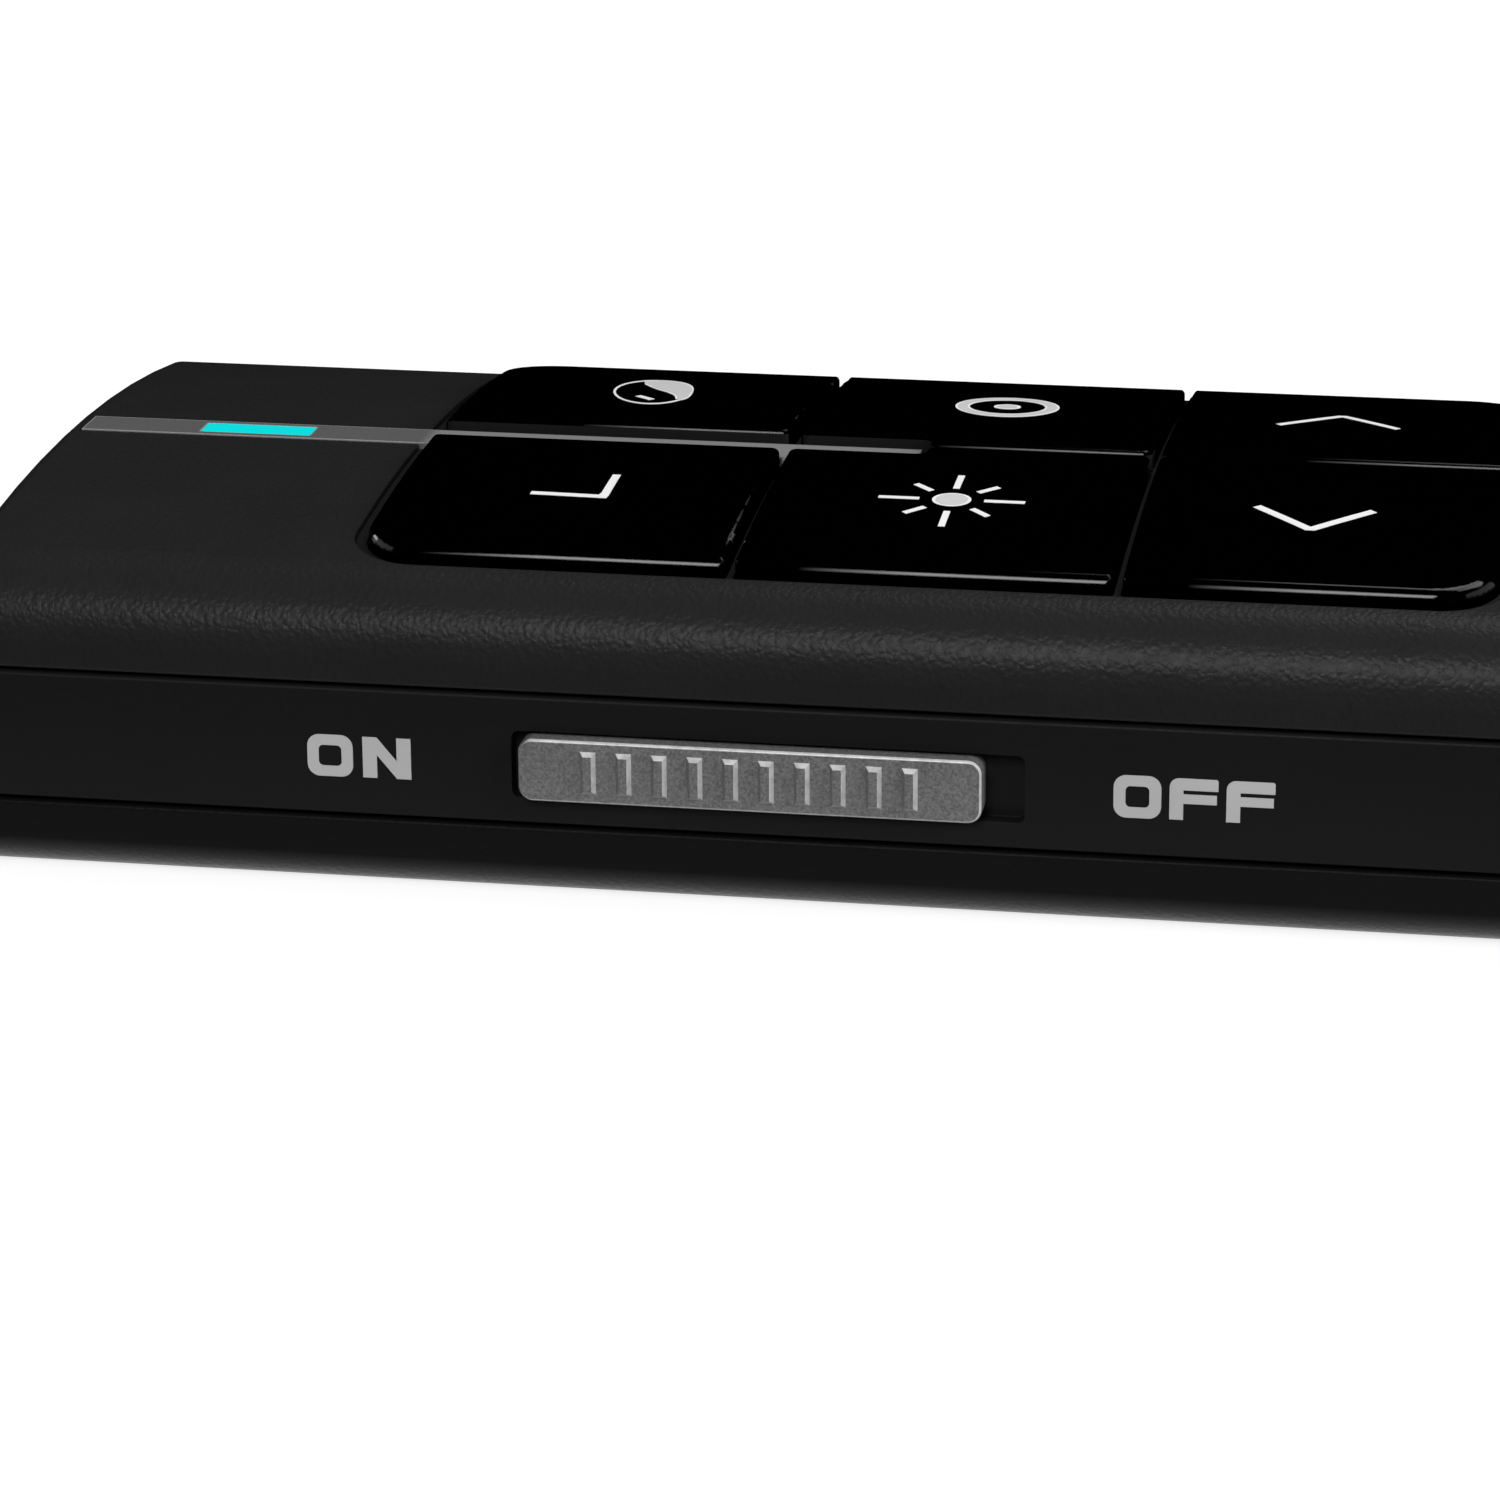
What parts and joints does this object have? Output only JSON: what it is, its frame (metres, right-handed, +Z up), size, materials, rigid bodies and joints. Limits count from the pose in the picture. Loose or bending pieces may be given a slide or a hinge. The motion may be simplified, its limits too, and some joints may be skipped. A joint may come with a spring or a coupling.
{
  "type": "wireless presentation clicker",
  "caption": "Slim crowned bar with a gloss keypad and lit strip on top, a power slider in its side, a nose laser, a slide-off battery door and a USB receiver in its tail",
  "frame": {"origin": "centre of the flat base, under the middle of the body", "axes": "+X from the nose to the tail, +Y across, away from the power slider, +Z up out of the keypad"},
  "size_m": [0.136, 0.0337, 0.0137],
  "materials": {
    "shell": "fine leather-like grain",
    "band": "smooth satin",
    "bezel": "smooth matt",
    "strip": "satin grey",
    "guide": "clear, lit cyan",
    "key": "polished",
    "knob": "sand-blasted grey",
    "plunger": "moulded",
    "switch": "moulded",
    "lever": "moulded",
    "board": "solder mask",
    "chip": "moulded",
    "can": "drawn",
    "capacitor": "ceramic",
    "led": "clear",
    "barrel": "turned",
    "optic": "clear, tinted",
    "contact": "nickel plated",
    "cell": "plain sleeve",
    "lead": "insulated",
    "receiver": "satin",
    "plug": "nickel plated",
    "gold": "gold plated",
    "screw": "zinc plated"
  },
  "bodies": {
    "housing": {"top_shell": "shell", "bottom_shell": "shell", "middle_frame": "band", "keypad_bezel": "bezel", "center_strip": "strip", "light_guide": "guide", "tact_switches": "switch", "power_switch_case": "switch", "circuit_board": "board", "laser_board": "board", "radio_chip": "chip", "crystal_can": "can", "chip_capacitors": "capacitor", "status_led": "led", "laser_barrel": "barrel", "laser_diode": "barrel", "laser_lens": "optic", "laser_window": "optic", "laser_pins": "contact", "battery_spring": "contact", "negative_contact": "contact", "positive_contact": "contact", "battery_cell": "cell", "battery_lead": "lead", "housing_screws": "screw", "board_screws": "screw"},
    "toggle_button": {"key_toggle": "key", "plunger_toggle": "plunger"},
    "enter_button": {"key_enter": "key", "plunger_enter": "plunger"},
    "laser_button": {"key_laser": "key", "plunger_laser": "plunger"},
    "light_button": {"key_light": "key", "plunger_light": "plunger"},
    "up_button": {"key_up": "key", "plunger_up": "plunger"},
    "down_button": {"key_down": "key", "plunger_down": "plunger"},
    "power_slider": {"power_knob": "knob", "slider_yoke": "lever", "switch_lever": "lever"},
    "door": {"battery_door": "shell"},
    "usb_receiver": {"receiver_cap": "receiver", "receiver_plug": "plug", "receiver_tongue": "receiver", "receiver_contacts": "gold", "receiver_board": "board"}
  },
  "joints": [
    {"name": "toggle_press", "type": "slide", "parent": "housing", "child": "toggle_button", "axis": [0, 0, -1], "range_m": [0, 0.00035], "stiffness_N_per_m": 2000, "springref_m": -0.0005},
    {"name": "enter_press", "type": "slide", "parent": "housing", "child": "enter_button", "axis": [0, 0, -1], "range_m": [0, 0.00035], "stiffness_N_per_m": 2000, "springref_m": -0.0005},
    {"name": "laser_press", "type": "slide", "parent": "housing", "child": "laser_button", "axis": [0, 0, -1], "range_m": [0, 0.00035], "stiffness_N_per_m": 2000, "springref_m": -0.0005},
    {"name": "light_press", "type": "slide", "parent": "housing", "child": "light_button", "axis": [0, 0, -1], "range_m": [0, 0.00035], "stiffness_N_per_m": 2000, "springref_m": -0.0005},
    {"name": "up_press", "type": "slide", "parent": "housing", "child": "up_button", "axis": [0, 0, -1], "range_m": [0, 0.00035], "stiffness_N_per_m": 2000, "springref_m": -0.0005},
    {"name": "down_press", "type": "slide", "parent": "housing", "child": "down_button", "axis": [0, 0, -1], "range_m": [0, 0.00035], "stiffness_N_per_m": 2000, "springref_m": -0.0005},
    {"name": "power_slide", "type": "slide", "parent": "housing", "child": "power_slider", "axis": [1, 0, 0], "range_m": [0, 0.0015]},
    {"name": "door_slide", "type": "slide", "parent": "housing", "child": "door", "axis": [1, 0, 0], "range_m": [0, 0.073]},
    {"name": "receiver_slide", "type": "slide", "parent": "housing", "child": "usb_receiver", "axis": [1, 0, 0], "range_m": [0, 0.02]}
  ]
}
